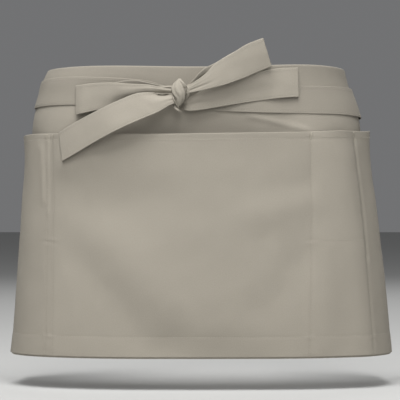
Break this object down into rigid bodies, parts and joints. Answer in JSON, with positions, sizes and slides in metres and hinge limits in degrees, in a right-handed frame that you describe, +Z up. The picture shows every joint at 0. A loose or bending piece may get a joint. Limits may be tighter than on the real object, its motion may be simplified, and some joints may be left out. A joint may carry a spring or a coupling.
{
  "type": "waist apron",
  "caption": "Short cloth waist apron in its worn form: a wrap-round skirt panel with a pocket panel over the front, a folded waistband and ties knotted in a bow.",
  "frame": {"origin": "middle of the waist opening at the height of the tied belt, where the wearer's waist holds it", "axes": "+Z up along the wearer's body, -Y to the front where the bow and the pockets are, +X to the viewer's right, across the widest extent"},
  "size_m": [0.446, 0.2855, 0.3586],
  "materials": {
    "panel_cloth": "plain taupe twill, matt",
    "band_cloth": "plain taupe twill, matt",
    "pocket_cloth": "plain taupe twill, matt",
    "tie_cloth": "plain taupe twill, matt, edge stitched",
    "bow_cloth": "plain taupe twill, matt, edge stitched"
  },
  "bodies": {
    "root": {"skirt_panel": "panel_cloth", "waistband": "band_cloth", "pocket_panel": "pocket_cloth", "tie_left": "tie_cloth", "tie_right": "tie_cloth", "bow_knot": "bow_cloth", "bow_loop_left": "bow_cloth", "bow_loop_right": "bow_cloth", "bow_tail_left": "bow_cloth", "bow_tail_right": "bow_cloth"}
  },
  "joints": []
}
